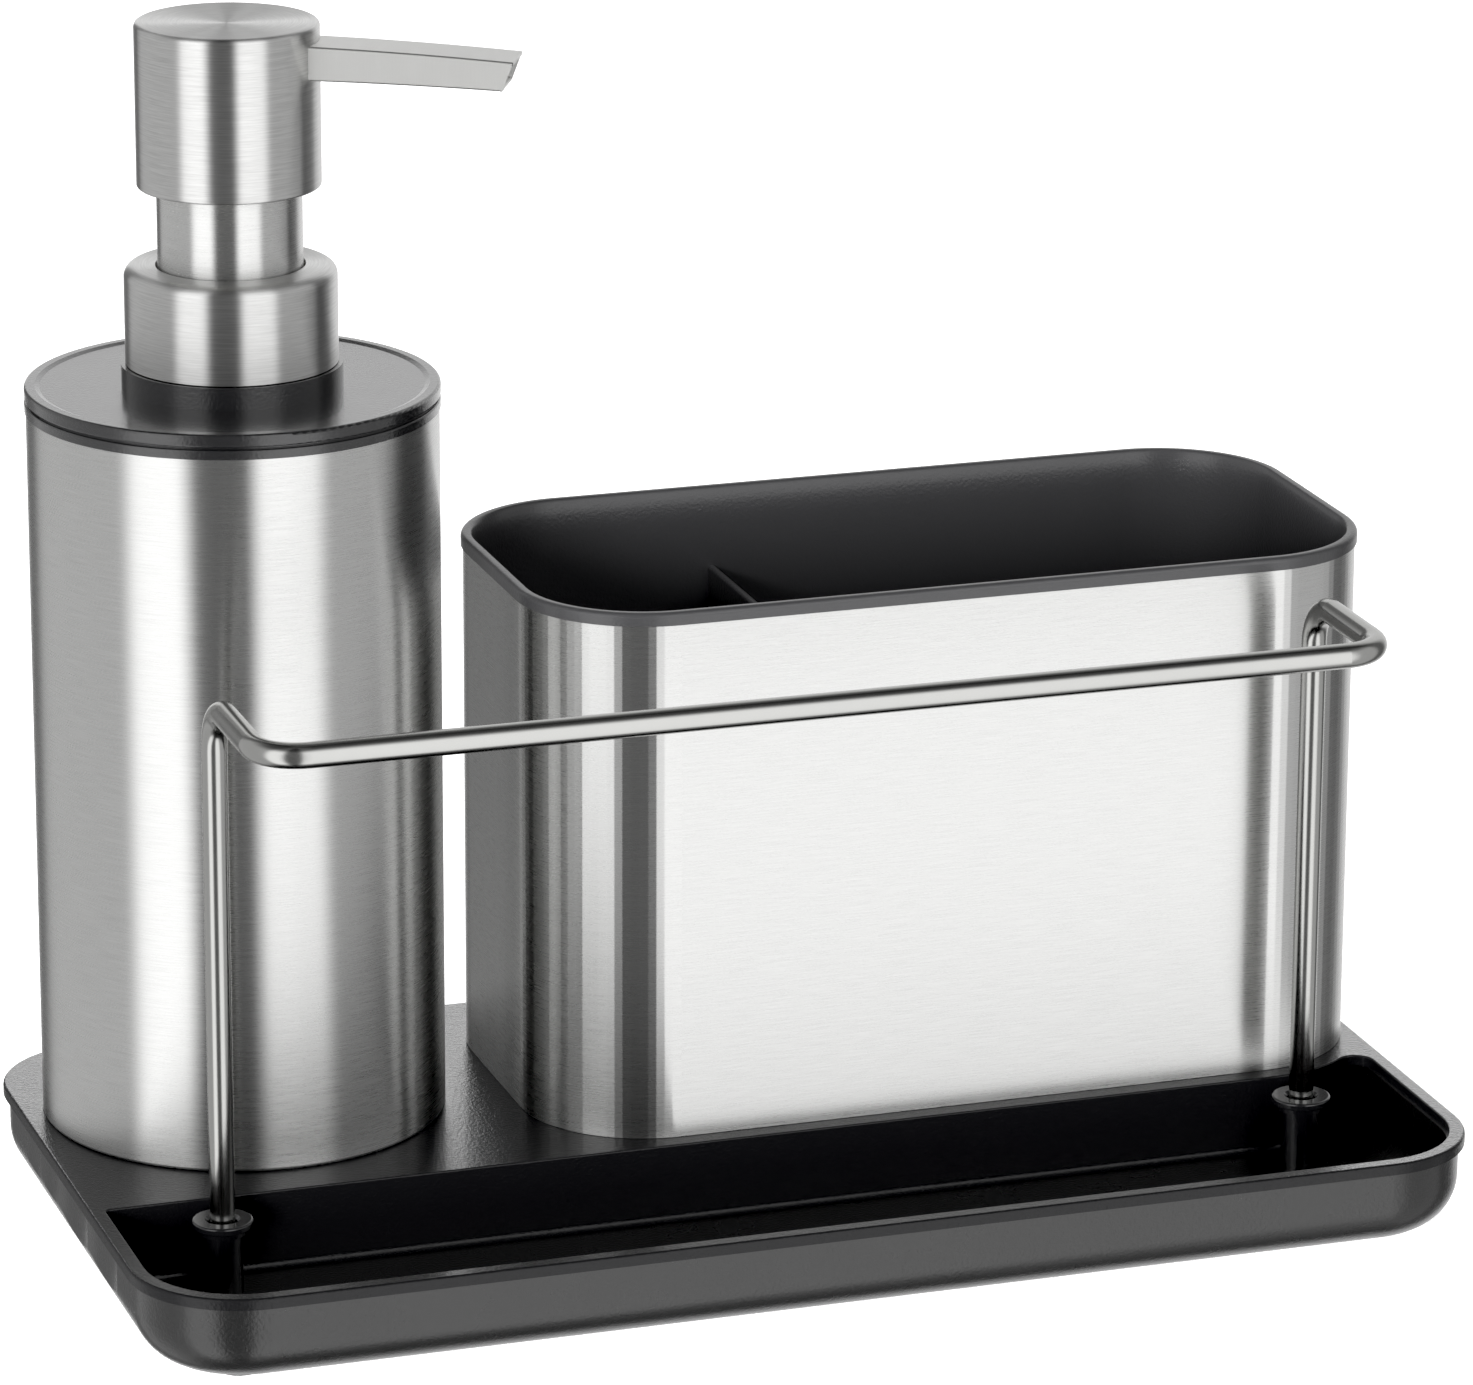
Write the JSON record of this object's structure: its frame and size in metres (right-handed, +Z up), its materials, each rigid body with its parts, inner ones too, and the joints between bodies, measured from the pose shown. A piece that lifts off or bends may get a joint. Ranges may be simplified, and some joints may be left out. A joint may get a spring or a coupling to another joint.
{
  "type": "sink caddy with soap pump",
  "caption": "Black tray with a drip trough carrying a steel soap pump bottle, a divided brush holder and a bent rail for a cloth; the pump presses and swivels.",
  "frame": {"origin": "on the table under the middle of the tray", "axes": "+X along the tray from the bottle to the holder, +Y to the back, +Z up"},
  "size_m": [0.22, 0.1186, 0.1938],
  "materials": {
    "black_satin_plastic": "fine satin texture",
    "black_gloss_plastic": "gloss",
    "brushed_stainless": "brushed round the piece",
    "polished_stainless": "polished",
    "spring_steel": "drawn wire",
    "black_rubber": "matt",
    "natural_plastic": "natural",
    "grey_plastic": "satin"
  },
  "bodies": {
    "tray": {"tray_tub": "black_satin_plastic", "tray_top": "black_satin_plastic", "foot_front_left": "black_rubber", "foot_front_right": "black_rubber", "foot_rear_left": "black_rubber", "foot_rear_right": "black_rubber", "rail_socket_left": "black_gloss_plastic", "rail_socket_right": "black_gloss_plastic"},
    "rail": {"towel_rail": "polished_stainless"},
    "holder": {"holder_sleeve": "brushed_stainless"},
    "liner": {"holder_liner": "black_satin_plastic"},
    "bottle": {"bottle_shell": "brushed_stainless", "bottle_container": "black_satin_plastic", "bottle_lid": "black_satin_plastic"},
    "pump": {"pump_housing": "natural_plastic", "pump_guide": "natural_plastic", "neck_gasket": "black_rubber", "dip_tube": "natural_plastic", "return_spring": "spring_steel"},
    "collar": {"collar_shell": "brushed_stainless", "collar_insert": "natural_plastic"},
    "plunger": {"pump_stem": "natural_plastic", "pump_piston": "grey_plastic"},
    "head": {"head_sleeve": "brushed_stainless", "head_core": "natural_plastic", "head_shell": "brushed_stainless", "spout_shell": "brushed_stainless", "spout_insert": "grey_plastic"},
    "ball": {"check_ball": "polished_stainless"}
  },
  "joints": [
    {"name": "rail_lift", "type": "slide", "parent": "tray", "child": "rail", "axis": [0, 0, 1], "range_m": [0, 0.03]},
    {"name": "holder_lift", "type": "slide", "parent": "tray", "child": "holder", "axis": [0, 0, 1], "range_m": [0, 0.04]},
    {"name": "liner_lift", "type": "slide", "parent": "holder", "child": "liner", "axis": [0, 0, 1], "range_m": [0, 0.06]},
    {"name": "bottle_lift", "type": "slide", "parent": "tray", "child": "bottle", "axis": [0, 0, 1], "range_m": [0, 0.04]},
    {"name": "pump_rise", "type": "slide", "parent": "bottle", "child": "pump", "axis": [0, 0, 1], "range_m": [0, 0.00635]},
    {"name": "collar_turn", "type": "hinge", "parent": "pump", "child": "collar", "pos_m": [-0.07435, 0.02455, 0.1495], "axis": [0, 0, 1], "range_deg": [0, 540]},
    {"name": "pump_press", "type": "slide", "parent": "pump", "child": "plunger", "axis": [0, 0, 1], "range_m": [-0.011, 0], "stiffness_N_per_m": 350, "springref_m": 0.012, "deforming": ["return_spring"]},
    {"name": "head_swivel", "type": "hinge", "parent": "plunger", "child": "head", "pos_m": [-0.07435, 0.02455, 0.1795], "axis": [0, 0, 1], "continuous": true},
    {"name": "ball_rise", "type": "slide", "parent": "pump", "child": "ball", "axis": [0, 0, 1], "range_m": [0, 0.0015]}
  ],
  "couplings": [
    {"joint": "pump_rise", "follows": "collar_turn", "m_per_rad": 0.00067376}
  ]
}
